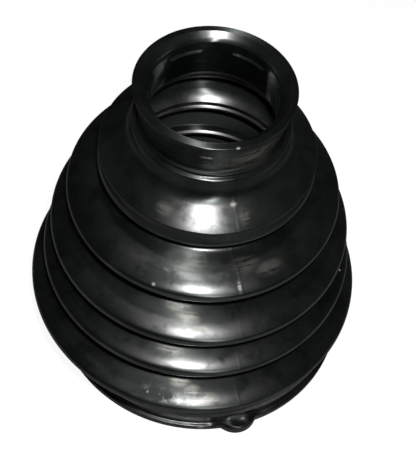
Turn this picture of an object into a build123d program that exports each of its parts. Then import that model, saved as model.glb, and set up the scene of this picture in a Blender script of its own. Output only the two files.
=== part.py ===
"""Bellows boot of moulded rubber, in millimetres, +Z up.

One piece, hollow from end to end. The large end stands on z = 0 with the axis on Z, five folds
narrow towards the top, and a sloping shoulder carries the collar of the small end.
The bends of the folds are cut as flats, which keeps the solid light.
"""
import os

from build123d import *

# Folds: the wall, and the height of the flat that stands for the round of a crest.
wall = 1.9
crest_flat = 1.6

# Folds from the small end: radius and height of each crest, then of the root below it.
# The first crest is the foot of the shoulder's side wall. The last fold stands out from the large bore.
large_bore_radius = 37.0
last_crest_stand = 8.1
last_root_stand = 2.2
crests = [(25.8, 68.3), (33.8, 57.5), (38.4, 44.5), (40.9, 32.9), (large_bore_radius + last_crest_stand, 20.1)]
roots = [(22.3, 62.4), (25.6, 49.6), (29.5, 37.8), (33.3, 24.8), (large_bore_radius + last_root_stand, 14.1)]

# Shoulder: its side wall, the slope up to the neck, and the ledge under the small collar.
side_wall_rise = 4.3
shoulder_rise = 4.9
neck_rise = 4.3

# Small end: a bore in a collar that flares from its waist to the lip. Walls are taken from the bore.
small_bore_radius = 14.6
small_bore_step = 1.9  # how far the bore reaches below the ledge
neck_wall = 4.1
ledge_wall = 3.6
waist_wall = 1.9
waist_rise = 1.1
collar_length = 9.5
lip_wall = 3.6
lip_roll = 1.3
bore_draft = 0.3  # how far the bore opens from the ribs to the roll of the lip

# Ribs inside the small bore.
rib_count = 6
rib_arc = 34
rib_below_lip = 4.6
rib_width = 0.9
rib_depth = 0.5
rib_turn = 31.5  # degrees from the front to the first rib

# Large end: clamp seat between a foot lip and a rounded bead. The lip and the bead stand out from the seat.
seat_wall = 3.6
seat_width = 6.5
foot_lip = 1.2
foot_height = 2.2
bead_lip = 1.4
bead_height = 3.5
bead_round = 0.9

# Lug on the foot, in line with the parting line of the mould.
lug_turn = 21  # degrees from the front
lug_stand = 2.4
lug_radius = 6.4
lug_height = 4.6
dimple_length = 4.2
dimple_width = 2.0
dimple_depth = 0.8
dimple_edge = 0.9  # left between the dimple and the lug's outer edge

side_wall_top = (crests[0][0], crests[0][1] + side_wall_rise)
neck = (small_bore_radius + neck_wall, side_wall_top[1] + shoulder_rise)
ledge_height = neck[1] + neck_rise
waist_height = ledge_height + waist_rise
height = waist_height + collar_length
lip_radius = small_bore_radius + lip_wall
rib_height = height - rib_below_lip
seat_radius = large_bore_radius + seat_wall
foot_radius = seat_radius + foot_lip
bead_foot = foot_height + seat_width
bead_radius = seat_radius + bead_lip
lug_reach = foot_radius + lug_stand


def moved_in(start, end):
    """The outer line from start down to end, moved through the wall to its inner side."""
    along = Vector(end[0] - start[0], end[1] - start[1]).normalized() * wall
    return (start[0] + along.Y, start[1] - along.X), (end[0] + along.Y, end[1] - along.X)


def meet(first, second):
    """Where two lines cross, each given by two points."""
    (x1, y1), (x2, y2) = first
    (x3, y3), (x4, y4) = second
    t = ((x3 - x1) * (y4 - y3) - (y3 - y1) * (x4 - x3)) / ((x2 - x1) * (y4 - y3) - (y2 - y1) * (x4 - x3))
    return (x1 + t * (x2 - x1), y1 + t * (y2 - y1))


# Outer side of the folds from the neck down, and the long lines that the inner side follows.
outer_folds = [neck, side_wall_top, crests[0], roots[0]]
long_lines = list(zip(outer_folds, outer_folds[1:]))
for (crest_radius, crest_height), root in zip(crests[1:], roots[1:]):
    crest_top = (crest_radius, crest_height + crest_flat / 2)
    crest_bottom = (crest_radius, crest_height - crest_flat / 2)
    long_lines += [(outer_folds[-1], crest_top), (crest_bottom, root)]
    outer_folds += [crest_top, crest_bottom, root]
inner_folds = [moved_in(*long_lines[0])[0]]
inner_folds += [meet(moved_in(*a), moved_in(*b)) for a, b in zip(long_lines, long_lines[1:])]

outline = [
    (small_bore_radius, rib_height - rib_width),
    (small_bore_radius + bore_draft, height - lip_roll),
    (small_bore_radius + bore_draft + lip_roll, height),
    (lip_radius, height),
    (small_bore_radius + waist_wall, waist_height),
    (small_bore_radius + ledge_wall, ledge_height),
    *outer_folds,
    (bead_radius - bead_round, bead_foot + bead_height),
    (bead_radius, bead_foot + bead_height - bead_round),
    (bead_radius, bead_foot),
    (seat_radius, bead_foot),
    (seat_radius, foot_height),
    (foot_radius, foot_height),
    (foot_radius, 0),
    (large_bore_radius, 0),
    (large_bore_radius, roots[-1][1]),
    *reversed(inner_folds),
    (small_bore_radius, ledge_height - small_bore_step),
]

with BuildPart() as rib:
    rib_root = small_bore_radius + rib_depth
    with BuildSketch(Plane.XZ):
        with BuildLine():
            Polyline(
                (rib_root, rib_height - rib_width),
                (small_bore_radius - rib_depth, rib_height),
                (rib_root, rib_height + rib_width),
                close=True,
            )
        make_face()
    revolve(axis=Axis.Z, revolution_arc=rib_arc)

with BuildPart() as bellows_boot:
    with BuildSketch(Plane.XZ):
        with BuildLine():
            Polyline(*outline, close=True)
        make_face()
    revolve(axis=Axis.Z)

    # The ribs are short ridges round part of the bore, sunk into the wall at their roots.
    with PolarLocations(0, rib_count, start_angle=rib_turn - rib_arc / 2 - 90):
        add(rib.part)

    # Lug: a rounded ear with a dimple in its top.
    with BuildSketch():
        with PolarLocations(lug_reach - lug_radius, 1, start_angle=lug_turn - 90):
            Circle(lug_radius)
        Circle(seat_radius - wall, mode=Mode.SUBTRACT)
    extrude(amount=lug_height)
    with BuildSketch(Plane.XY.offset(lug_height)):
        with PolarLocations(lug_reach - dimple_edge - dimple_width / 2, 1, start_angle=lug_turn - 90):
            SlotOverall(dimple_length, dimple_width, rotation=90)
    extrude(amount=-dimple_depth, taper=30, mode=Mode.SUBTRACT)

bellows_boot.part.label = "bellows_boot"
os.makedirs("parts", exist_ok=True)
export_step(bellows_boot.part, "parts/bellows_boot.step")
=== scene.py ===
"""Rubber bellows boot: the smooth moulded boot, its rubber, its stage and its light.

All sizes are in metres and all angles in degrees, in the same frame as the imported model: the large
end's foot stands on z = 0, the axis is Z, and the front is -Y.
"""
import logging
import math
from dataclasses import dataclass, field
from enum import Enum

import bpy
from mathutils import Matrix, Vector


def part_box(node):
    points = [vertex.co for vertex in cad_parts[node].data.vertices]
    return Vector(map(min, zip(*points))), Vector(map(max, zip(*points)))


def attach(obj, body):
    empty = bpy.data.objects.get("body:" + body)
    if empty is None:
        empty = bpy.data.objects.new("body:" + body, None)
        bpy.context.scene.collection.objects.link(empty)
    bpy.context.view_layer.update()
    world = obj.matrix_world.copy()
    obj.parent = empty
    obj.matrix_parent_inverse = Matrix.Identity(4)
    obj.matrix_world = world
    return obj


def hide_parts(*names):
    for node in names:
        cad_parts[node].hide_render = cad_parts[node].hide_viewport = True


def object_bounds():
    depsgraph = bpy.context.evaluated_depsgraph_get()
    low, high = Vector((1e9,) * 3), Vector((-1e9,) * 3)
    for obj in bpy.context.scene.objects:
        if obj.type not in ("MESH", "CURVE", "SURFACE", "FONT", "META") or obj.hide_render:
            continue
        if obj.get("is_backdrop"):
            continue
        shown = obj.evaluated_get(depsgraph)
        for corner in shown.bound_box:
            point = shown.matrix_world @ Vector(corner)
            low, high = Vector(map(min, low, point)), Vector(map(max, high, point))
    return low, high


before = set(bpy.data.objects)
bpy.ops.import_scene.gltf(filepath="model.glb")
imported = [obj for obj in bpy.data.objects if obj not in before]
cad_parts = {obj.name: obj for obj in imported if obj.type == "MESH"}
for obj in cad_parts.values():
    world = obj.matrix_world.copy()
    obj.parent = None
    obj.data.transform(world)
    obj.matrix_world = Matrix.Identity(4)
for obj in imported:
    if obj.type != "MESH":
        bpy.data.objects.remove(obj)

log = logging.getLogger("bellows_boot")

NODE = "bellows_boot"
SLOT = "boot_rubber"
CAD_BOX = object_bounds()

# Inner side of a crest: its wall over the wall at the roots, and its bend over the outer bend.
CREST_WALL = 1.15
CREST_BEND = 0.47

Socket = bpy.types.NodeSocket
Value = "Socket | float"
Numbers = tuple[float, ...]


class Side(Enum):
    """Which side of the wall a stretch of the section belongs to."""

    OUTER = 1.0
    INNER = 0.0


class Stretch(Enum):
    """Stretch of the outside that scuffed patches and painted glints lie on."""

    COLLAR = "small collar"
    DOME = "domed shoulder"
    FOLD_1 = "first fold"
    FOLD_2 = "second fold"
    FOLD_3 = "third fold"
    FOLD_4 = "fourth fold"
    FOOT = "large collar"


Ends = dict[Stretch, tuple[Vector, Vector]]


class FieldMath:
    """Short words for the math nodes of one tree, in geometry or in shader nodes."""

    def __init__(self, tree: bpy.types.NodeTree) -> None:
        """Keep the tree that the nodes go into."""
        self.tree = tree

    def node(self, kind: str, **settings: object) -> bpy.types.Node:
        """Add a node.

        Args:
            kind: Blender's name of the node type.
            settings: Values for the node's own properties.

        Returns:
            The new node.
        """
        made = self.tree.nodes.new(kind)
        for name, value in settings.items():
            setattr(made, name, value)
        return made

    def feed(self, socket: Socket, value: "Value | Numbers") -> None:
        """Link a socket into an input, or write a plain value on it.

        Args:
            socket: The input.
            value: An output socket, or a plain number, vector or colour.
        """
        if isinstance(value, bpy.types.NodeSocket):
            self.tree.links.new(value, socket)
        else:
            socket.default_value = value

    def write(self, node: bpy.types.Node, values: dict[str, object]) -> None:
        """Write plain values on a node's inputs, by their names."""
        for name, value in values.items():
            node.inputs[name].default_value = value

    def math(self, operation: str, *values: Value) -> Socket:
        """One math node.

        Args:
            operation: Blender's name of the operation.
            values: Up to three inputs.

        Returns:
            The result's socket.
        """
        made = self.node("ShaderNodeMath", operation=operation)
        for socket, value in zip(made.inputs, values):
            self.feed(socket, value)
        return made.outputs[0]

    def plus(self, a: Value, b: Value) -> Socket:
        """Sum of two values."""
        return self.math("ADD", a, b)

    def minus(self, a: Value, b: Value) -> Socket:
        """The first value less the second."""
        return self.math("SUBTRACT", a, b)

    def times(self, a: Value, b: Value) -> Socket:
        """Product of two values."""
        return self.math("MULTIPLY", a, b)

    def over(self, a: Value, b: Value) -> Socket:
        """The first value divided by the second."""
        return self.math("DIVIDE", a, b)

    def hypot(self, a: Socket, b: Socket) -> Socket:
        """Length of a flat vector, from its two parts."""
        return self.math("SQRT", self.plus(self.times(a, a), self.times(b, b)))

    def ramp(self, value: Value, low: Value, high: Value, start: Value = 0.0, end: Value = 1.0) -> Socket:
        """Ease from start to end while a value goes from low to high.

        Args:
            value: What is read.
            low: Where the ramp begins.
            high: Where it ends.
            start: The result at low.
            end: The result at high.

        Returns:
            The eased value's socket.
        """
        made = self.node("ShaderNodeMapRange", interpolation_type="SMOOTHSTEP")
        ends = {"Value": value, "From Min": low, "From Max": high, "To Min": start, "To Max": end}
        for name, given in ends.items():
            self.feed(made.inputs[name], given)
        return made.outputs["Result"]

    def split(self, vector: Socket) -> tuple[Socket, Socket, Socket]:
        """Take a vector apart.

        Args:
            vector: The vector.

        Returns:
            Its x, y and z.
        """
        made = self.node("ShaderNodeSeparateXYZ")
        self.feed(made.inputs[0], vector)
        return made.outputs[0], made.outputs[1], made.outputs[2]

    def join(self, x: Value, y: Value, z: Value) -> Socket:
        """Make a vector.

        Args:
            x: Its first part.
            y: Its second part.
            z: Its third part.

        Returns:
            The vector's socket.
        """
        made = self.node("ShaderNodeCombineXYZ")
        for socket, value in zip(made.inputs, (x, y, z)):
            self.feed(socket, value)
        return made.outputs[0]

    def noise(self, vector: Socket, scale: Value, detail: float = 2.0, rough: float = 0.5) -> Socket:
        """Smooth noise from 0 to 1.

        Args:
            vector: Where it is read.
            scale: How many waves go into a metre.
            detail: How many finer layers are added.
            rough: How strong the finer layers are.

        Returns:
            The noise's socket.
        """
        made = self.node("ShaderNodeTexNoise")
        self.feed(made.inputs["Vector"], vector)
        self.feed(made.inputs["Scale"], scale)
        made.inputs["Detail"].default_value = detail
        made.inputs["Roughness"].default_value = rough
        return made.outputs[0]


@dataclass(frozen=True)
class Corner:
    """A corner of the section: radius, height, and the round that eases it."""

    radius: float
    height: float
    round: float
    step: float = 0.0022

    @property
    def point(self) -> Vector:
        """Radius and height as a flat vector."""
        return Vector((self.radius, self.height))


@dataclass(frozen=True)
class Tip:
    """A round of the bellows: the outermost or innermost point that it reaches, and its bend.

    The bend is the round's radius, below zero where it is hollow seen from outside.
    """

    radius: float
    height: float
    bend: float

    @property
    def centre(self) -> Vector:
        """Centre of the round."""
        return Vector((self.radius - self.bend, self.height))

    def fall_to(self, lower: "Tip") -> float:
        """Fall of the straight underside between this round and a hollow one below it.

        Args:
            lower: The hollow round.

        Returns:
            The fall in degrees.
        """
        way = self.centre - lower.centre
        lean = math.asin((self.bend - lower.bend) / way.length)
        return 90.0 - math.degrees(math.atan2(way.x, way.y) + lean)

    def top(self, fall: float) -> Vector:
        """Where a side of the given fall that faces up touches the round."""
        return self.centre + self.bend * Vector((math.sin(math.radians(fall)), math.cos(math.radians(fall))))

    def under(self, fall: float) -> Vector:
        """Where a side of the given fall that faces down touches the round."""
        return self.centre + self.bend * Vector((math.sin(math.radians(fall)), -math.cos(math.radians(fall))))


@dataclass(frozen=True)
class Fold:
    """One fold of the bellows: its root, its crest, and the slopes of the flank between them."""

    root: Tip
    crest: Tip
    root_fall: float = 7.0
    crest_fall: float = 25.0
    handle: float = 0.38

    def flank(self, step: float) -> list[Vector]:
        """Points down the flank.

        Args:
            step: Distance between points.

        Returns:
            The points, from the root's round to the crest's.
        """
        start, end = self.root.top(self.root_fall), self.crest.top(self.crest_fall)
        reach = (end - start).length * self.handle
        first, last = (math.radians(fall) for fall in (self.root_fall, self.crest_fall))
        pull = start + reach * Vector((math.cos(first), -math.sin(first)))
        push = end - reach * Vector((math.cos(last), -math.sin(last)))
        count = max(3, round((end - start).length / step))
        return [bezier(start, pull, push, end, n / count) for n in range(count + 1)]

    def moved_in(self, wall: float) -> "Fold":
        """The same fold on the wall's other side, a little thicker at the crest.

        Args:
            wall: The wall's thickness at the roots.

        Returns:
            The inner fold.
        """
        root = Tip(self.root.radius - wall, self.root.height, self.root.bend - wall)
        crest = Tip(self.crest.radius - wall * CREST_WALL, self.crest.height, self.crest.bend * CREST_BEND)
        return Fold(root, crest, self.root_fall, self.crest_fall)


@dataclass
class Section:
    """The boot's section, from the rim down the outside and back up the inside."""

    height: float
    wall: float = 0.00165
    bore: float = 0.0146
    large_bore: float = 0.037
    shoulder_radius: float = 0.0261
    shoulder_foot: float = 0.0682
    folds: tuple[Fold, ...] = (
        Fold(Tip(0.0217, 0.0634, -0.0020), Tip(0.0338, 0.0575, 0.0019), 7.0, 30.0),
        Fold(Tip(0.0249, 0.0506, -0.0020), Tip(0.0384, 0.0445, 0.0019), 6.0, 27.5),
        Fold(Tip(0.0292, 0.0385, -0.0020), Tip(0.0409, 0.0329, 0.0019), 6.0, 25.0),
        Fold(Tip(0.0334, 0.0257, -0.0020), Tip(0.0450, 0.0201, 0.0019), 6.0, 23.0),
    )
    collar_root: Tip = Tip(0.0396, 0.0142, -0.0012)
    collar_root_fall: float = 30.0
    ledges: tuple[tuple[float, float], ...] = (
        (0.0197, 0.06295),
        (0.0226, 0.0497),
        (0.0271, 0.0377),
        (0.0313, 0.0249),
    )
    ledge_rise: float = 0.0004
    ledge_width: float = 0.00055
    ledge_face: float = 0.0005
    ledge_foot: tuple[float, float] = (0.0003, 0.0011)
    ledge_gap: float = 0.0001
    edge_band: float = 0.0005
    edge_start: float = 0.0178
    groove: tuple[float, float] = (0.0821, 0.0833)
    bore_mouth: tuple[float, float] = (0.0735, 0.0812)
    crest_reflection_band: tuple[float, float] = (0.0003, 0.0010)

    def shoulder(self) -> list[Corner]:
        """Small collar and domed shoulder.

        Returns:
            The corners, from the rim to the first crest.
        """
        return [
            Corner(0.0182, self.height, 0.0002),
            Corner(0.0165, 0.0829, 0.0003),
            Corner(0.0171, 0.0827, 0.0003),
            Corner(0.0173, 0.0820, 0.00015),
            Corner(0.0182, 0.0818, 0.0006),
            Corner(0.0187, 0.0771, 0.0050, 0.0016),
            Corner(0.0257, 0.0726, 0.0004),
            Corner(0.0257, 0.0695, 0.0016),
            Corner(self.shoulder_radius, self.shoulder_foot, 0.0005),
        ]

    def large_collar(self) -> list[Corner]:
        """Bead, clamp seat and foot lip.

        Returns:
            The corners, from the bead down to the foot.
        """
        return [
            Corner(0.0420, 0.0121, 0.0013),
            Corner(0.0420, 0.0087, 0.0006),
            Corner(0.0406, 0.0087, 0.0004),
            Corner(0.0406, 0.0022, 0.0004, 0.0008),
            Corner(0.0418, 0.0022, 0.0004, 0.00015),
            Corner(0.0418, 0.0, 0.00035, 0.0004),
        ]

    def large_bore_edge(self) -> list[Corner]:
        """The edge of the large bore at the foot."""
        return [Corner(self.large_bore, 0.0, 0.0006, 0.0022)]

    def small_bore_wall(self) -> list[Corner]:
        """Inner side of the first crest, the dome and the small bore.

        Returns:
            The corners, from the first root up to the rim.
        """
        return [
            Corner(0.0202, 0.0635, 0.0002, 0.001),
            Corner(0.0200, 0.0647, 0.0001, 0.0005),
            Corner(0.0218, 0.0662, 0.0060, 0.001),
            Corner(0.0240, 0.0699, 0.0060, 0.001),
            Corner(0.0240, 0.0717, 0.0010, 0.002),
            Corner(0.0168, 0.0768, 0.003, 0.002),
            Corner(0.0155, 0.0797, 0.0005, 0.001),
            Corner(self.bore, 0.0813, 0.0005),
            Corner(self.bore, 0.0866, 0.0001, 0.00016),
            Corner(self.bore, 0.0890, 0.0001),
            Corner(0.0148, 0.0904, 0.0003),
            Corner(0.0153, 0.09115, 0.0002, 0.0003),
            Corner(0.01655, self.height, 0.0002),
        ]

    def bellows(
        self, entry: float, folds: list[Fold], foot: Tip, exit_fall: float, step: float, turn: float
    ) -> list[Vector]:
        """Points down one side of the bellows.

        Args:
            entry: Fall of the side that enters the first root.
            folds: The folds, from the top down.
            foot: The round above the large collar.
            exit_fall: Fall of the side that leaves that round.
            step: Distance between points.
            turn: Degrees between points of a round.

        Returns:
            The points, from the first root to the end of the last.
        """
        points = []
        for fold, below in zip(folds, [*(f.root for f in folds[1:]), foot]):
            under = fold.crest.fall_to(below)
            points += arc(fold.root, fold.root.under(entry), fold.root.top(fold.root_fall), turn * 1.3)
            points += fold.flank(step)[1:-1]
            points += arc(fold.crest, fold.crest.top(fold.crest_fall), fold.crest.under(under), turn)
            points += between(points[-1], below.under(under), step * 2.0)
            entry = under
        return points + arc(foot, foot.under(entry), foot.top(exit_fall), turn)

    def inner_bellows(self) -> list[tuple[Vector, float]]:
        """Inner side of the folds, from the large collar up to the first root.

        Returns:
            The points, each with its polish: 0 in the dull folds, 1 on the ledge round each root.
        """
        folds = [fold.moved_in(self.wall) for fold in self.folds]
        foot = Tip(self.large_bore, 0.0138, -0.0012)
        points = [(point, 0.0) for point in self.bellows(90.0, folds, foot, 90.0, 0.0026, 30.0)]
        for radius, height in self.ledges:
            slope = [
                (Vector((radius + share * self.ledge_width, height + share * self.ledge_rise)), 1.0)
                for share in (1.15, 0.9, 0.1, -0.1)
            ]
            drop = [
                (Vector((radius, height - self.ledge_face)), 0.0),
                (Vector((radius + self.ledge_foot[0], height - self.ledge_foot[1])), 0.0),
            ]
            above = [entry for entry in points if entry[0].y > slope[0][0].y + self.ledge_gap]
            below = [entry for entry in points if entry[0].y < drop[-1][0].y - self.ledge_gap]
            points = above + slope + drop + below
        return points[::-1]

    def outline(self) -> list[tuple[Vector, float, float]]:
        """Points round the section.

        Returns:
            Each point as radius and height, with its side and its polish.
        """
        top = Tip(self.shoulder_radius, self.shoulder_foot, 0.0)
        entry = top.fall_to(self.folds[0].root)
        outer = self.bellows(entry, list(self.folds), self.collar_root, self.collar_root_fall, 0.0015, 14.0)
        inner = self.inner_bellows()
        rim, collar = self.shoulder(), self.large_collar()
        bore, neck = self.large_bore_edge(), self.small_bore_wall()
        outside = [
            *rounded(neck[-1].point, rim, outer[0]),
            *outer,
            *rounded(outer[-1], collar, bore[0].point),
        ]
        foot = rounded(collar[-1].point, bore, inner[0][0])
        small_end = rounded(inner[-1][0], neck, rim[0].point, 20.0)
        inside = [*((point, 1.0) for point in foot), *inner, *((p, self.bore_polish(p)) for p in small_end)]
        return [(point, Side.OUTER.value, self.outer_polish(point)) for point in outside] + [
            (point, Side.INNER.value, polish) for point, polish in inside
        ]

    def stretches(self) -> Ends:
        """Where the stretches that carry scuffed patches and painted glints begin and end.

        Returns:
            For each stretch, its upper and its lower end, as radius and height.
        """
        shoulder, collar = self.shoulder(), self.large_collar()
        ends = {
            Stretch.COLLAR: (shoulder[0].point, shoulder[1].point),
            Stretch.DOME: (shoulder[5].point, shoulder[6].point),
            Stretch.FOOT: (collar[0].point, collar[-1].point),
        }
        names = (Stretch.FOLD_1, Stretch.FOLD_2, Stretch.FOLD_3, Stretch.FOLD_4)
        for name, fold in zip(names, self.folds):
            ends[name] = (fold.root.top(fold.root_fall), fold.crest.top(fold.crest_fall))
        return ends

    def bore_polish(self, point: Vector) -> float:
        """Polish of the inner side of the small end: half where the bore opens into the dome."""
        return 0.5 if self.bore_mouth[0] < point.y < self.bore_mouth[1] else 1.0

    def painted_crest_reflection(self, point: Vector) -> float:
        """Painted reflection along the crests: a pale line that stands in for the grazing reflection at each
        crest's edge.

        Args:
            point: A point of the section.

        Returns:
            1 at each crest's widest point, else 0.
        """
        depth, reach = self.crest_reflection_band
        tips = [*(fold.crest for fold in self.folds), Tip(self.shoulder_radius, self.shoulder_foot, 0.0)]
        return float(any(point.x > tip.radius - depth and abs(point.y - tip.height) < reach for tip in tips))

    def outer_polish(self, point: Vector) -> float:
        """Polish of the outer side: less on the rim's edge and in the groove under the small collar.

        Args:
            point: A point of the section.

        Returns:
            The polish, from 0 to 1.
        """
        if point.y > self.height - self.edge_band and point.x > self.edge_start:
            return 0.5
        return 0.1 if self.groove[0] < point.y < self.groove[1] else 1.0


def emptied(owner: "bpy.types.Material | bpy.types.World") -> FieldMath:
    """Empty the shader nodes of a material or a world.

    Args:
        owner: The material or world.

    Returns:
        Math words of its tree.
    """
    owner.use_nodes = True
    owner.node_tree.nodes.clear()
    return FieldMath(owner.node_tree)


def linked(name: str, data: "bpy.types.ID") -> bpy.types.Object:
    """Make an object and put it into the scene.

    Args:
        name: The object's name.
        data: Its mesh, light or camera.

    Returns:
        The object.
    """
    made = bpy.data.objects.new(name, data)
    bpy.context.scene.collection.objects.link(made)
    return made


def bezier(start: Vector, pull: Vector, push: Vector, end: Vector, share: float) -> Vector:
    """The point at a share of the way along a cubic curve with two handles."""
    rest = 1.0 - share
    return rest**3 * start + 3 * rest * rest * share * pull + 3 * rest * share * share * push + share**3 * end


def arc(tip: Tip, start: Vector, end: Vector, turn: float = 16.0) -> list[Vector]:
    """Points the short way round a tip.

    Args:
        tip: The round.
        start: First point on it.
        end: Last point on it.
        turn: Degrees between points.

    Returns:
        The points, both ends among them.
    """
    first, last = start - tip.centre, end - tip.centre
    sweep = first.angle_signed(last)
    count = max(2, math.ceil(abs(math.degrees(sweep)) / turn))
    return [tip.centre + Matrix.Rotation(-sweep * n / count, 2) @ first for n in range(count + 1)]


def between(start: Vector, end: Vector, step: float) -> list[Vector]:
    """Points inside a straight stretch.

    Args:
        start: Where the stretch starts.
        end: Where it ends.
        step: How far apart the points may be.

    Returns:
        The points, without the ends.
    """
    count = int((end - start).length / step)
    return [start.lerp(end, (n + 1) / (count + 1)) for n in range(count)]


def rounded(before: Vector, corners: list[Corner], after: Vector, turn: float = 15.0) -> list[Vector]:
    """Points along a line of corners, each with its round.

    Args:
        before: The point ahead of the first corner.
        corners: The corners in order.
        after: The point past the last corner.
        turn: Degrees between points of a round.

    Returns:
        The points of the rounds, and points between them where a stretch is long.
    """
    spots = [before, *(corner.point for corner in corners), after]
    points = []
    for index, corner in enumerate(corners):
        back, ahead = spots[index] - corner.point, spots[index + 2] - corner.point
        opening = back.angle(ahead)
        reach = min(corner.round / math.tan(opening / 2), back.length * 0.48, ahead.length * 0.48)
        start, end = corner.point + back.normalized() * reach, corner.point + ahead.normalized() * reach
        bow = [corner.point]
        if reach > 2e-5:
            way = (back.normalized() + ahead.normalized()).normalized()
            middle = corner.point + way * (reach / math.cos(opening / 2))
            bow = arc(Tip(middle.x, middle.y, 0.0), start, end, turn)
        if points:
            points += between(points[-1], bow[0], corners[index - 1].step)
        points += bow
    return points


@dataclass(frozen=True)
class Lug:
    """Rounded ear with a dimple: its sizes, the foot that it grows from, and how it blends in."""

    reach: float = 0.0442
    round: float = 0.0064
    height: float = 0.0041
    dimple_length: float = 0.0042
    dimple_width: float = 0.0021
    dimple_depth: float = 0.0003
    dimple_reach: float = 0.0423
    dimple_core: float = 0.3
    dimple_edge: float = 1.3
    seat: float = 0.0406
    seat_top: float = 0.0087
    slack: float = 0.0003
    lip: float = 0.0418
    lip_height: float = 0.0022
    blend: float = 0.0009
    blend_slack: float = 0.00015
    top_flat: float = 0.0022
    top_end: float = 0.0085


@dataclass(frozen=True)
class Ribs:
    """Short ribs round the small bore."""

    count: int = 6
    arc: float = 34.0
    turn: float = 31.5
    height: float = 0.0878
    half_width: float = 0.0008
    depth: float = 0.0006
    fade: tuple[float, float] = (-0.05, 0.03)
    bore_limit: float = 0.0152


@dataclass
class BellowsBoot:
    """The moulded boot: a section swept round the axis, then formed by its mould.

    The lean moves the foot off the axis, across and back. The large bore goes with it, off its mount.
    """

    section: Section
    lug: Lug = field(default_factory=Lug)
    ribs: Ribs = field(default_factory=Ribs)
    parting_turn: float = 21.0
    parting_height: float = 0.000015
    parting_width: float = 0.0006
    parting_grain: float = 260.0
    parting_breaks: Numbers = (0.38, 0.6, 0.25, 1.0)
    segments: int = 256
    gather: float = 0.8
    path_radius: float = 0.01
    lean: tuple[float, float] = (0.0025, 0.0006)
    lean_fade: tuple[float, float] = (0.004, 0.018)
    wobble: float = 0.00012
    wobble_grain: float = 32.0

    def build(self) -> bpy.types.Object:
        """Sweep the section and form the lug, the ribs and the parting line.

        Returns:
            The finished piece.
        """
        points, sides, polish = zip(*self.section.outline())
        # Mask of the painted reflection line along each crest.
        crest_reflection = [self.section.painted_crest_reflection(point) * side for point, side in zip(points, sides)]
        mesh = bpy.data.meshes.new("boot_section")
        edges = [(i, (i + 1) % len(points)) for i in range(len(points))]
        mesh.from_pydata([(p.x - self.path_radius, -p.y, 0.0) for p in points], edges, [])
        for name, values in (("side", sides), ("polish", polish), ("crest_reflection", crest_reflection)):
            mesh.attributes.new(name, "FLOAT", "POINT").data.foreach_set("value", values)
        holder = linked("boot_section", mesh)
        tree = self.form_tree()
        modifier = holder.modifiers.new("form", "NODES")
        modifier.node_group = tree
        values = {
            "Segments": self.segments,
            "Gather": self.gather,
            "Parting Turn": math.radians(self.parting_turn - 90),
            "Parting Height": self.parting_height,
            "Lean Across": self.lean[0],
            "Lean Back": self.lean[1],
            "Wobble": self.wobble,
        }
        for item in tree.interface.items_tree:
            if item.in_out == "INPUT" and item.name in values:
                modifier[item.identifier] = values[item.name]
        graph = bpy.context.evaluated_depsgraph_get()
        graph.update()
        shape = bpy.data.meshes.new_from_object(holder.evaluated_get(graph))
        holder.modifiers.clear()
        bpy.data.objects.remove(holder)
        shape.name = "moulded_boot"
        piece = linked("moulded_boot", shape)
        log.info("section points %d, faces %d", len(points), len(shape.polygons))
        return piece

    def form_tree(self) -> bpy.types.NodeTree:
        """Geometry nodes that sweep the section round the axis and form the mould's details.

        Returns:
            The node tree, with its sizes as named inputs.
        """
        tree = bpy.data.node_groups.new("boot_form", "GeometryNodeTree")
        face = tree.interface
        face.new_socket("Geometry", in_out="INPUT", socket_type="NodeSocketGeometry")
        face.new_socket("Segments", in_out="INPUT", socket_type="NodeSocketInt")
        for name in ("Gather", "Parting Turn", "Parting Height", "Lean Across", "Lean Back", "Wobble"):
            face.new_socket(name, in_out="INPUT", socket_type="NodeSocketFloat")
        face.new_socket("Geometry", in_out="OUTPUT", socket_type="NodeSocketGeometry")
        f = FieldMath(tree)
        given = f.node("NodeGroupInput").outputs
        swept = self.sweep(f, given)
        formed = self.mould(f, given, swept)
        smooth = f.node("GeometryNodeSetShadeSmooth")
        f.feed(smooth.inputs["Geometry"], formed)
        realize = f.node("GeometryNodeRealizeInstances")
        f.feed(realize.inputs[0], smooth.outputs[0])
        dressed = f.node("GeometryNodeSetMaterial")
        f.feed(dressed.inputs["Geometry"], realize.outputs[0])
        dressed.inputs["Material"].default_value = bpy.data.materials[SLOT]
        f.feed(f.node("NodeGroupOutput").inputs[0], dressed.outputs[0])
        return tree

    def sweep(self, f: FieldMath, given: bpy.types.NodeOutputs) -> Socket:
        """Sweep the section round the axis, with the steps closer together at the parting line.

        Args:
            f: Math words of the tree.
            given: The tree's named inputs.

        Returns:
            The swept mesh.
        """
        circle = f.node("GeometryNodeCurvePrimitiveCircle")
        f.feed(circle.inputs["Resolution"], given["Segments"])
        circle.inputs["Radius"].default_value = self.path_radius
        step = f.over(f.times(f.node("GeometryNodeInputIndex").outputs[0], math.tau), given["Segments"])
        crowd = f.times(f.math("SINE", f.times(step, 2.0)), f.times(given["Gather"], 0.5))
        turn = f.plus(f.minus(step, crowd), given["Parting Turn"])
        around = [f.times(f.math(way, turn), self.path_radius) for way in ("COSINE", "SINE")]
        spread = f.node("GeometryNodeSetPosition")
        f.feed(spread.inputs["Geometry"], circle.outputs["Curve"])
        f.feed(spread.inputs["Position"], f.join(*around, 0.0))
        upright = f.node("GeometryNodeSetCurveNormal", mode="Z_UP")
        f.feed(upright.inputs["Curve"], spread.outputs[0])
        profile = f.node("GeometryNodeMeshToCurve")
        f.feed(profile.inputs["Mesh"], given["Geometry"])
        swept = f.node("GeometryNodeCurveToMesh")
        f.feed(swept.inputs["Curve"], upright.outputs[0])
        f.feed(swept.inputs["Profile Curve"], profile.outputs[0])
        return swept.outputs[0]

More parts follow.
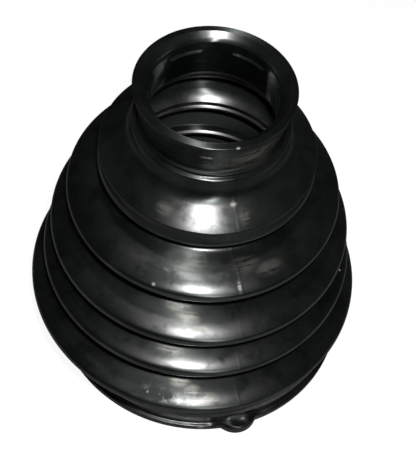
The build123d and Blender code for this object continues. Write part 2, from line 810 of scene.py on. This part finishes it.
    def mould(self, f: FieldMath, given: bpy.types.NodeOutputs, swept: Socket) -> Socket:
        """Move the swept skin to form the lug, the ribs, the parting line and the lean.

        Args:
            f: Math words of the tree.
            given: The tree's named inputs.
            swept: The swept mesh.

        Returns:
            The formed mesh.
        """
        place = f.node("GeometryNodeInputPosition").outputs[0]
        x, y, z = f.split(place)
        radius = f.hypot(x, y)
        turn = f.math("ARCTAN2", y, x)
        from_parting = f.math("WRAP", f.minus(turn, given["Parting Turn"]), math.pi, -math.pi)
        radius, z = self.form_lug(f, radius, z, from_parting)
        radius = self.form_ribs(f, radius, z, turn)
        side = f.node("GeometryNodeInputNamedAttribute", data_type="FLOAT")
        side.inputs["Name"].default_value = "side"
        away = f.math("ABSOLUTE", f.times(radius, f.math("SINE", from_parting)))
        ridge = f.ramp(away, 0.0, self.parting_width, 1.0, 0.0)
        broken = f.ramp(f.noise(place, self.parting_grain), *self.parting_breaks)
        ridge = f.times(f.times(ridge, broken), given["Parting Height"])
        ridge = f.times(ridge, side.outputs["Attribute"])
        sag = f.times(f.noise(place, self.wobble_grain), given["Wobble"])
        normal = f.node("GeometryNodeInputNormal").outputs[0]
        push = f.node("ShaderNodeVectorMath", operation="SCALE")
        f.feed(push.inputs[0], normal)
        f.feed(push.inputs["Scale"], f.minus(ridge, sag))
        low = f.ramp(z, *self.lean_fade, 1.0, 0.0)
        across, back = (f.times(low, given[name]) for name in ("Lean Across", "Lean Back"))
        straight = f.join(
            f.plus(f.times(f.math("COSINE", turn), radius), across),
            f.plus(f.times(f.math("SINE", turn), radius), back),
            z,
        )
        moved = f.node("ShaderNodeVectorMath", operation="ADD")
        f.feed(moved.inputs[0], straight)
        f.feed(moved.inputs[1], push.outputs[0])
        mx, my, mz = f.split(moved.outputs[0])
        shaped = f.node("GeometryNodeSetPosition")
        f.feed(shaped.inputs["Geometry"], swept)
        f.feed(shaped.inputs["Position"], f.join(mx, my, f.math("MAXIMUM", mz, 0.0)))
        return shaped.outputs[0]

    def form_lug(
        self, f: FieldMath, radius: Socket, z: Socket, from_parting: Socket
    ) -> tuple[Socket, Socket]:
        """Draw the foot lip out and up into the lug, and press its dimple.

        Args:
            f: Math words of the tree.
            radius: Distance from the axis.
            z: Height.
            from_parting: Turn from the parting line, in radians.

        Returns:
            The new distance from the axis and the new height.
        """
        lug = self.lug
        along = f.times(from_parting, lug.lip)
        inside = f.math("MAXIMUM", f.minus(lug.round**2, f.times(along, along)), 0.0)
        ear = f.plus(f.math("SQRT", inside), lug.reach - lug.round)
        out = f.math("SMOOTH_MAX", ear, lug.lip, lug.blend)
        out = f.plus(lug.lip, f.math("MAXIMUM", f.minus(out, lug.lip + lug.blend_slack), 0.0))
        top = f.ramp(f.math("ABSOLUTE", along), lug.top_flat, lug.top_end, lug.height, lug.lip_height)
        past_wall = f.math("GREATER_THAN", radius, lug.seat - lug.slack)
        is_foot = f.times(past_wall, f.math("LESS_THAN", z, lug.seat_top))
        stretch = f.over(f.minus(out, lug.seat), lug.lip - lug.seat)
        past_seat = f.math("MAXIMUM", f.minus(radius, lug.seat), 0.0)
        drawn = f.plus(radius, f.times(past_seat, f.minus(stretch, 1.0)))
        low = f.times(f.math("MINIMUM", z, lug.lip_height), f.over(top, lug.lip_height))
        share = f.over(f.minus(lug.seat_top, top), lug.seat_top - lug.lip_height)
        high = f.times(f.math("MAXIMUM", f.minus(z, lug.lip_height), 0.0), share)
        raised = f.plus(low, high)
        off_x = f.over(f.minus(drawn, lug.dimple_reach), lug.dimple_width / 2)
        off_y = f.over(along, lug.dimple_length / 2)
        press = f.ramp(f.hypot(off_x, off_y), lug.dimple_core, lug.dimple_edge, lug.dimple_depth, 0.0)
        press = f.times(press, f.ramp(z, lug.lip_height - lug.slack, lug.lip_height))
        raised = f.minus(raised, press)
        new_radius = self.choose(f, is_foot, radius, drawn)
        new_height = self.choose(f, is_foot, z, raised)
        return new_radius, new_height

    def form_ribs(self, f: FieldMath, radius: Socket, z: Socket, turn: Socket) -> Socket:
        """Raise the ribs from the wall of the small bore.

        Args:
            f: Math words of the tree.
            radius: Distance from the axis.
            z: Height.
            turn: Turn about the axis, in radians.

        Returns:
            The new distance from the axis.
        """
        ribs = self.ribs
        pitch = math.tau / ribs.count
        first = math.radians(ribs.turn - 90)
        from_rib = f.math("ABSOLUTE", f.math("WRAP", f.minus(turn, first), pitch / 2, -pitch / 2))
        half = math.radians(ribs.arc / 2)
        along = f.ramp(from_rib, half + ribs.fade[0], half + ribs.fade[1], 1.0, 0.0)
        across = f.ramp(f.math("ABSOLUTE", f.minus(z, ribs.height)), 0.0, ribs.half_width, 1.0, 0.0)
        in_bore = f.math("LESS_THAN", radius, ribs.bore_limit)
        rise = f.times(f.times(along, across), f.times(in_bore, ribs.depth))
        return f.minus(radius, rise)

    def choose(self, f: FieldMath, mask: Socket, off: Socket, on: Socket) -> Socket:
        """The value off where a mask is 0, and on where it is 1."""
        return f.plus(off, f.times(mask, f.minus(on, off)))


@dataclass(frozen=True)
class ScuffAndGlint:
    """A patch on the outside: its share of the way down its stretch, its turn from the front, and its reach.

    The strength is above zero where the patch is painted pale, partly as scuffing and partly as painted
    highlight, and below zero where it is dull and dark.
    """

    share: float
    turn: float
    along: float
    across: float
    strength: float

    def middle(self, upper: Vector, lower: Vector) -> Vector:
        """Where the patch sits on the boot.

        Args:
            upper: The upper end of its stretch, as radius and height.
            lower: The lower end.

        Returns:
            The place of the patch's middle.
        """
        spot = upper.lerp(lower, self.share)
        turn = math.radians(self.turn - 90)
        return Vector((spot.x * math.cos(turn), spot.x * math.sin(turn), spot.y))


# Patches on the boot. Pale patches are partly scuffing and grime and partly painted highlight. The pale glow
# at the front of each fold, which slants to the right down the second to fourth fold, is painted highlight,
# and so are the bright spots on the foot. Patches below zero are dull and dark.
SCUFFS_AND_GLINTS: dict[Stretch, tuple[ScuffAndGlint, ...]] = {
    Stretch.COLLAR: (
        ScuffAndGlint(0.0, 0.0, 0.002, 0.0005, 0.5),
        ScuffAndGlint(0.0, 20.0, 0.0006, 0.0008, 0.9),
        ScuffAndGlint(0.4, 0.0, 0.002, 0.0006, 0.6),
        ScuffAndGlint(0.6, 40.0, 0.010, 0.005, 0.25),
    ),
    Stretch.DOME: (
        ScuffAndGlint(0.6, -20.0, 0.003, 0.002, 0.14),
        ScuffAndGlint(0.25, 20.0, 0.001, 0.001, 0.8),
        ScuffAndGlint(0.6, 25.0, 0.002, 0.0025, 0.12),
    ),
    Stretch.FOLD_1: (
        ScuffAndGlint(0.2, 0.0, 0.004, 0.003, 0.25),
        ScuffAndGlint(0.4, 25.0, 0.005, 0.003, 0.1),
        ScuffAndGlint(0.65, 35.0, 0.005, 0.0025, 0.1),
        ScuffAndGlint(0.9, 20.0, 0.0006, 0.0018, 0.9),
        ScuffAndGlint(1.0, -15.0, 0.0006, 0.0006, 1.0),
        ScuffAndGlint(0.0, 70.0, 0.0006, 0.0006, 1.0),
        ScuffAndGlint(0.2, -10.0, 0.0035, 0.0025, -0.8),
        ScuffAndGlint(0.3, 10.0, 0.003, 0.003, -0.5),
        ScuffAndGlint(0.8, -15.0, 0.008, 0.0045, -0.9),
    ),
    Stretch.FOLD_2: (
        ScuffAndGlint(0.3, -5.0, 0.004, 0.0025, 0.9),
        ScuffAndGlint(0.6, 0.0, 0.004, 0.003, 0.8),
        ScuffAndGlint(0.8, 5.0, 0.004, 0.0015, 0.7),
        ScuffAndGlint(0.5, 15.0, 0.006, 0.003, -0.7),
        ScuffAndGlint(0.5, -20.0, 0.006, 0.003, -0.6),
    ),
    Stretch.FOLD_3: (
        ScuffAndGlint(0.4, -10.0, 0.003, 0.0015, 0.5),
        ScuffAndGlint(0.55, -5.0, 0.0045, 0.002, 0.8),
        ScuffAndGlint(0.85, 0.0, 0.0035, 0.002, 0.8),
        ScuffAndGlint(0.6, 15.0, 0.005, 0.003, -0.6),
        ScuffAndGlint(0.7, -10.0, 0.005, 0.003, -0.6),
    ),
    Stretch.FOLD_4: (
        ScuffAndGlint(0.3, 0.0, 0.0035, 0.0025, 1.0),
        ScuffAndGlint(0.6, 5.0, 0.003, 0.0025, 1.0),
        ScuffAndGlint(0.8, 10.0, 0.004, 0.002, 1.0),
        ScuffAndGlint(0.5, -15.0, 0.012, 0.006, -1.0),
        ScuffAndGlint(0.8, -10.0, 0.011, 0.004, -1.0),
        ScuffAndGlint(0.4, 20.0, 0.009, 0.005, -1.0),
    ),
    Stretch.FOOT: (
        ScuffAndGlint(0.25, 10.0, 0.002, 0.0005, 1.0),
        ScuffAndGlint(0.15, 35.0, 0.014, 0.004, 0.4),
        ScuffAndGlint(0.9, 30.0, 0.010, 0.002, 0.2),
        ScuffAndGlint(0.9, 10.0, 0.0015, 0.0015, 1.0),
        ScuffAndGlint(0.65, 20.0, 0.006, 0.003, -0.8),
    ),
}


@dataclass(frozen=True)
class GlossyRubber:
    """Glossy black moulded rubber, turned rings left by its mould, a thin haze of grime, and painted light: a
    pale line of painted reflection along each crest, and pale patches that are partly painted highlight.

    A grain is a noise's scale, detail and roughness. A tuple that ends in ramp or fade holds the ends of a
    ramp: where it begins and ends, and what it gives there. Rubber isn't metal: the dull rubber inside the
    folds is partly metallic only because that takes its reflection down.
    """

    colour: tuple[float, float, float] = (0.0016, 0.0024, 0.0020)
    # The haze colour also paints a pale line of painted reflection along each crest.
    film_and_reflection: tuple[float, float, float] = (0.36, 0.45, 0.41)
    # The pale colour is grime in the specks, and partly painted highlight in the pale patches.
    dust_and_glint: tuple[float, float, float] = (0.48, 0.46, 0.41)
    roughness: float = 0.52
    wall_roughness: float = 0.14
    stretch: float = 1.0
    skew: float = 0.28
    coat_roughness: float = 0.28
    gloss: float = 1.6
    dull_metallic: float = 0.6
    tint: tuple[float, float, float] = (0.92, 1.0, 0.95)
    haze_grain: Numbers = (75.0, 5.0, 0.65)
    haze_ramp: Numbers = (0.38, 0.68, 0.0, 0.009)
    crest_reflection_fade: Numbers = (0.4, 1.0)
    crest_reflection_ramp: Numbers = (0.3, 0.6, 0.01, 0.05)
    pale_patch_share: float = 0.9
    wall_fade: Numbers = (0.45, 0.85)
    ring_ramp: Numbers = (0.3, 0.7, -0.04, 0.04)
    dull_fade: Numbers = (0.0, 0.4)
    dull_rough: float = 0.35
    mottle_grain: Numbers = (170.0, 4.0, 0.65)
    mottle_ramp: Numbers = (0.36, 0.56, 0.4, 1.0)
    coat_ramp: Numbers = (0.1, 0.6, 0.5, 1.0)
    rub_loss: float = 0.35
    rub_bump: float = 0.6
    bump_strength: float = 0.3
    bump_depth: float = 0.0001
    ring_drift: float = 2.2
    ring_scale: float = 1400.0
    torn_grain: Numbers = (500.0, 3.0, 0.6)
    torn_share: float = 0.5
    torn_fade: Numbers = (0.56, 0.86)
    blotch_grain: Numbers = (300.0, 3.0, 0.6)
    blotch_fade: Numbers = (0.25, 0.5)
    speck_scale: float = 260.0
    speck_ramp: Numbers = (0.04, 0.11, 1.0, 0.0)
    speck_chance: float = 0.985
    speck_strength: float = 0.5

    def make(self, stretches: Ends) -> bpy.types.Material:
        """Build the material.

        Args:
            stretches: The ends of every stretch that carries scuffed patches and painted glints.

        Returns:
            The material, named after the record's slot.
        """
        material = bpy.data.materials.get(SLOT) or bpy.data.materials.new(SLOT)
        f = emptied(material)
        place = f.node("ShaderNodeTexCoord").outputs["Object"]
        x, y, z = f.split(place)
        radius = f.hypot(x, y)
        shader = f.node("ShaderNodeBsdfPrincipled")
        f.write(
            shader,
            {
                "IOR": self.gloss,
                "Specular Tint": (*self.tint, 1.0),
                "Anisotropic": self.stretch,
                "Anisotropic Rotation": self.skew,
                "Coat Roughness": self.coat_roughness,
                "Coat IOR": self.gloss,
            },
        )
        tangent = f.node("ShaderNodeTangent", direction_type="RADIAL", axis="Z")
        f.feed(shader.inputs["Tangent"], tangent.outputs[0])
        rings = self.rings(f, x, y, z, radius)
        rubbed_and_glint, dulled = self.worn_and_glint(f, place, rings, stretches)
        # The haze is random. Along each crest the crest mask raises it into a pale line of painted
        # reflection.
        crest_reflection = f.node("ShaderNodeAttribute", attribute_name="crest_reflection").outputs["Fac"]
        haze = f.noise(place, *self.haze_grain)
        film_and_reflection = f.ramp(haze, *self.haze_ramp)
        film_and_reflection = f.plus(film_and_reflection, f.times(f.ramp(crest_reflection, *self.crest_reflection_fade), f.ramp(haze, *self.crest_reflection_ramp)))
        tint = self.mix(f, (*self.colour, 1.0), (*self.film_and_reflection, 1.0), film_and_reflection)
        # Pale patches are partly scuffing and grime, and partly painted highlights and glints. The specks are
        # grime.
        specks_and_glints = f.plus(f.times(rubbed_and_glint, self.pale_patch_share), self.specks(f, place))
        tint = self.mix(f, tint, (*self.dust_and_glint, 1.0), f.math("MINIMUM", specks_and_glints, 1.0))
        f.feed(shader.inputs["Base Color"], tint)
        _, _, facing_up = f.split(f.node("ShaderNodeNewGeometry").outputs["Normal"])
        polish = f.node("ShaderNodeAttribute", attribute_name="polish").outputs["Fac"]
        rough = f.ramp(facing_up, *self.wall_fade, self.wall_roughness, self.roughness)
        rough = f.plus(rough, f.ramp(rings, *self.ring_ramp))
        rough = f.math("MAXIMUM", rough, f.ramp(polish, *self.dull_fade, 1.0, 0.0))
        f.feed(shader.inputs["Metallic"], f.ramp(polish, *self.dull_fade, self.dull_metallic, 0.0))
        f.feed(shader.inputs["Roughness"], f.plus(rough, f.times(dulled, self.dull_rough)))
        gloss = f.times(polish, f.ramp(f.noise(place, *self.mottle_grain), *self.mottle_ramp))
        gloss = f.times(gloss, f.ramp(facing_up, *self.coat_ramp))
        gloss = f.minus(gloss, f.plus(f.times(rubbed_and_glint, self.rub_loss), dulled))
        f.feed(shader.inputs["Coat Weight"], f.math("MAXIMUM", gloss, 0.0))
        bump = f.node("ShaderNodeBump")
        bump.inputs["Strength"].default_value = self.bump_strength
        bump.inputs["Distance"].default_value = self.bump_depth
        f.feed(bump.inputs["Height"], f.plus(rings, f.times(rubbed_and_glint, self.rub_bump)))
        f.feed(shader.inputs["Normal"], bump.outputs[0])
        f.feed(f.node("ShaderNodeOutputMaterial").inputs["Surface"], shader.outputs[0])
        return material

    def mix(
        self, f: FieldMath, under: "Socket | Numbers", over: Numbers, share: Socket
    ) -> Socket:
        """Lay one colour over another.

        Args:
            f: Math words of the tree.
            under: The colour below.
            over: The colour on top.
            share: How much of the top colour shows.

        Returns:
            The mixed colour.
        """
        made = f.node("ShaderNodeMix", data_type="RGBA")
        f.feed(made.inputs["Factor"], share)
        f.feed(made.inputs["A"], under)
        f.feed(made.inputs["B"], over)
        return made.outputs["Result"]

    def rings(self, f: FieldMath, x: Socket, y: Socket, z: Socket, radius: Socket) -> Socket:
        """Fine rings round the axis, as a turned mould leaves them.

        Args:
            f: Math words of the tree.
            x: Place across.
            y: Place along.
            z: Height.
            radius: Distance from the axis.

        Returns:
            A height from 0 to 1.
        """
        around = [f.times(f.over(part, radius), self.ring_drift) for part in (x, y)]
        made = f.node("ShaderNodeTexNoise", noise_dimensions="4D")
        f.feed(made.inputs["Vector"], f.join(*around, f.times(radius, self.ring_scale)))
        f.feed(made.inputs["W"], f.times(z, self.ring_scale))
        made.inputs["Scale"].default_value = 1.0
        made.inputs["Detail"].default_value = 3.0
        made.inputs["Roughness"].default_value = 0.6
        return made.outputs[0]

    def worn_and_glint(self, f: FieldMath, place: Socket, rings: Socket, stretches: Ends) -> tuple[Socket, Socket]:
        """Masks of the patches, broken up along the rings.

        Args:
            f: Math words of the tree.
            place: Object coordinates.
            rings: Height of the fine rings.
            stretches: The ends of every stretch that carries scuffed patches and painted glints.

        Returns:
            Two masks from 0 to 1: one of the pale patches, partly scuffing and partly painted highlight, and
                one of the dull dark ones.
        """
        pale, dark = 0.0, 0.0
        group = self.patch_group()
        for stretch, scuffs_and_glints in SCUFFS_AND_GLINTS.items():
            for scuff_and_glint in scuffs_and_glints:
                patch = f.node("ShaderNodeGroup", node_tree=group)
                f.feed(patch.inputs["Place"], place)
                f.write(
                    patch,
                    {
                        "Middle": scuff_and_glint.middle(*stretches[stretch]),
                        "Turn": math.radians(scuff_and_glint.turn),
                        "Along": scuff_and_glint.along,
                        "Across": scuff_and_glint.across,
                        "Strength": abs(scuff_and_glint.strength),
                    },
                )
                if scuff_and_glint.strength > 0.0:
                    pale = f.math("MAXIMUM", pale, patch.outputs["Mask"])
                else:
                    dark = f.math("MAXIMUM", dark, patch.outputs["Mask"])
        grain = f.times(f.noise(place, *self.torn_grain), self.torn_share)
        torn = f.ramp(f.plus(grain, rings), *self.torn_fade)
        blotch = f.ramp(f.noise(place, *self.blotch_grain), *self.blotch_fade)
        return f.times(pale, torn), f.times(dark, blotch)

    def patch_group(self) -> bpy.types.NodeTree:
        """Shader group that masks one soft oval patch lying along the rings.

        Returns:
            The group.
        """
        group = bpy.data.node_groups.new("scuff_and_glint_patch", "ShaderNodeTree")
        face = group.interface
        for name in ("Place", "Middle"):
            face.new_socket(name, in_out="INPUT", socket_type="NodeSocketVector")
        for name in ("Turn", "Along", "Across", "Strength"):
            face.new_socket(name, in_out="INPUT", socket_type="NodeSocketFloat")
        face.new_socket("Mask", in_out="OUTPUT", socket_type="NodeSocketFloat")
        f = FieldMath(group)
        given = f.node("NodeGroupInput").outputs
        away = f.node("ShaderNodeVectorMath", operation="SUBTRACT")
        f.feed(away.inputs[0], given["Place"])
        f.feed(away.inputs[1], given["Middle"])
        level = f.node("ShaderNodeVectorRotate", rotation_type="Z_AXIS")
        f.feed(level.inputs["Vector"], away.outputs[0])
        f.feed(level.inputs["Angle"], f.times(given["Turn"], -1.0))
        along, out, up = f.split(level.outputs[0])
        steep = f.hypot(out, up)
        a = f.over(along, given["Along"])
        b = f.over(steep, given["Across"])
        reach = f.hypot(a, b)
        mask = f.times(f.ramp(reach, 0.2, 1.0, 1.0, 0.0), given["Strength"])
        f.feed(f.node("NodeGroupOutput").inputs["Mask"], mask)
        return group

    def specks(self, f: FieldMath, place: Socket) -> Socket:
        """Scattered specks of grime.

        Args:
            f: Math words of the tree.
            place: Object coordinates.

        Returns:
            A mask from 0 to 1.
        """
        cells = f.node("ShaderNodeTexVoronoi", feature="F1")
        f.feed(cells.inputs["Vector"], place)
        cells.inputs["Scale"].default_value = self.speck_scale
        chance, _, _ = f.split(cells.outputs["Color"])
        spot = f.ramp(cells.outputs["Distance"], *self.speck_ramp)
        lucky = f.math("GREATER_THAN", chance, self.speck_chance)
        return f.times(f.times(spot, lucky), self.speck_strength)


@dataclass(frozen=True)
class Studio:
    """Plain floor, even surroundings, one small lamp beside the camera and one overhead.

    The floor's own colour is dark. The camera alone sees the glow that makes it white.
    """

    floor_half: float = 3.0
    floor_colour: float = 0.15
    floor_glow: float = 0.93
    surround: float = 0.016
    lamp_power: float = 0.55
    lamp_size: float = 0.012
    lamp_side: float = 0.012
    lamp_rise: float = 0.018
    overhead_power: float = 0.55
    overhead_size: float = 0.07
    overhead_place: tuple[float, float, float] = (-0.025, 0.0, 0.65)
    aim: tuple[float, float, float] = (0.0, 0.0, 0.05)

    def build(self, camera: bpy.types.Object) -> None:
        """Make the floor, the world and the lamps.

        Args:
            camera: The camera that the first lamp stands beside.
        """
        self.floor()
        self.world()
        self.lamps(camera)

    def floor(self) -> None:
        """A plain floor that the camera sees as white around the shadow."""
        half = self.floor_half
        mesh = bpy.data.meshes.new("floor")
        corners = [(-half, -half, 0), (half, -half, 0), (half, half, 0), (-half, half, 0)]
        mesh.from_pydata(corners, [], [(0, 1, 2, 3)])
        floor = linked("floor", mesh)
        material = bpy.data.materials.new("floor_paper")
        f = emptied(material)
        paper = f.node("ShaderNodeBsdfDiffuse")
        paper.inputs["Color"].default_value = (self.floor_colour,) * 3 + (1.0,)
        glow = f.node("ShaderNodeEmission")
        lift = f.times(f.node("ShaderNodeLightPath").outputs["Is Camera Ray"], self.floor_glow)
        f.feed(glow.inputs["Strength"], lift)
        both = f.node("ShaderNodeAddShader")
        f.feed(both.inputs[0], paper.outputs[0])
        f.feed(both.inputs[1], glow.outputs[0])
        f.feed(f.node("ShaderNodeOutputMaterial").inputs["Surface"], both.outputs[0])
        mesh.materials.append(material)
        floor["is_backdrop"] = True

    def world(self) -> None:
        """Even grey surroundings that the camera sees as white."""
        world = bpy.data.worlds.new("surroundings")
        bpy.context.scene.world = world
        f = emptied(world)
        sky = f.node("ShaderNodeBackground")
        sky.inputs["Color"].default_value = (1.0, 1.0, 1.0, 1.0)
        seen = f.node("ShaderNodeLightPath").outputs["Is Camera Ray"]
        f.feed(sky.inputs["Strength"], f.plus(f.times(seen, 1.0 - self.surround), self.surround))
        f.feed(f.node("ShaderNodeOutputWorld").inputs["Surface"], sky.outputs[0])

    def lamps(self, camera: bpy.types.Object) -> None:
        """A small round lamp just above the lens, and a wider one overhead.

        Args:
            camera: The camera that the first lamp stands beside.
        """
        beside = camera.matrix_world @ Vector((self.lamp_side, self.lamp_rise, 0.0))
        self.lamp("lamp", beside, self.lamp_power, self.lamp_size)
        self.lamp("overhead_lamp", Vector(self.overhead_place), self.overhead_power, self.overhead_size)

    def lamp(self, name: str, place: Vector, power: float, size: float) -> None:
        """One round lamp, turned to the boot.

        Args:
            name: The lamp's name.
            place: Where it stands.
            power: Its power in watts.
            size: Its diameter.
        """
        light = bpy.data.lights.new(name, "AREA")
        light.shape = "DISK"
        light.size = size
        light.energy = power
        lamp = linked(name, light)
        lamp.location = place
        way = Vector(self.aim) - place
        lamp.rotation_euler = way.to_track_quat("-Z", "Y").to_euler()


@dataclass(frozen=True)
class ViewCamera:
    """Camera that looks down on the boot from the front."""

    stand_off: float = 0.13575
    height: float = 0.2344
    yaw: float = 1.12
    pitch: float = 55.54
    roll: float = 7.91
    lens: float = 70.13
    sensor: float = 36.0
    near: float = 0.01

    def build(self) -> bpy.types.Object:
        """Make the camera and set it as the scene's.

        Returns:
            The camera object.
        """
        data = bpy.data.cameras.new("view")
        data.lens = self.lens
        data.sensor_width = self.sensor
        data.clip_start = self.near
        camera = linked("view", data)
        turn = Matrix.Rotation(-math.radians(self.yaw), 4, "Z")
        tip = Matrix.Rotation(math.radians(90.0 - self.pitch), 4, "X")
        roll = Matrix.Rotation(math.radians(self.roll), 4, "Z")
        camera.matrix_world = Matrix.Translation((0.0, -self.stand_off, self.height)) @ turn @ tip @ roll
        bpy.context.scene.camera = camera
        bpy.context.view_layer.update()
        return camera


def plain(box: object) -> object:
    """The same numbers as plain lists."""
    return [plain(part) for part in box] if hasattr(box, "__len__") else float(box)


def main() -> None:
    """Build the boot, dress it, light it, and report each piece."""
    logging.basicConfig(level=logging.INFO, format="%(name)s: %(message)s")
    bpy.context.scene.view_settings.view_transform = "Standard"
    _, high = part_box(NODE)
    section = Section(height=high[2])
    GlossyRubber().make(section.stretches())
    boot = BellowsBoot(section).build()
    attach(boot, "root")
    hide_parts(NODE)
    log.info("piece %s", boot.name)
    camera = ViewCamera().build()
    Studio().build(camera)
    log.info("stage, lamps and camera are set")
    {"cad": plain(CAD_BOX), "visual": plain(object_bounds())}


if __name__ == "__main__":
    main()
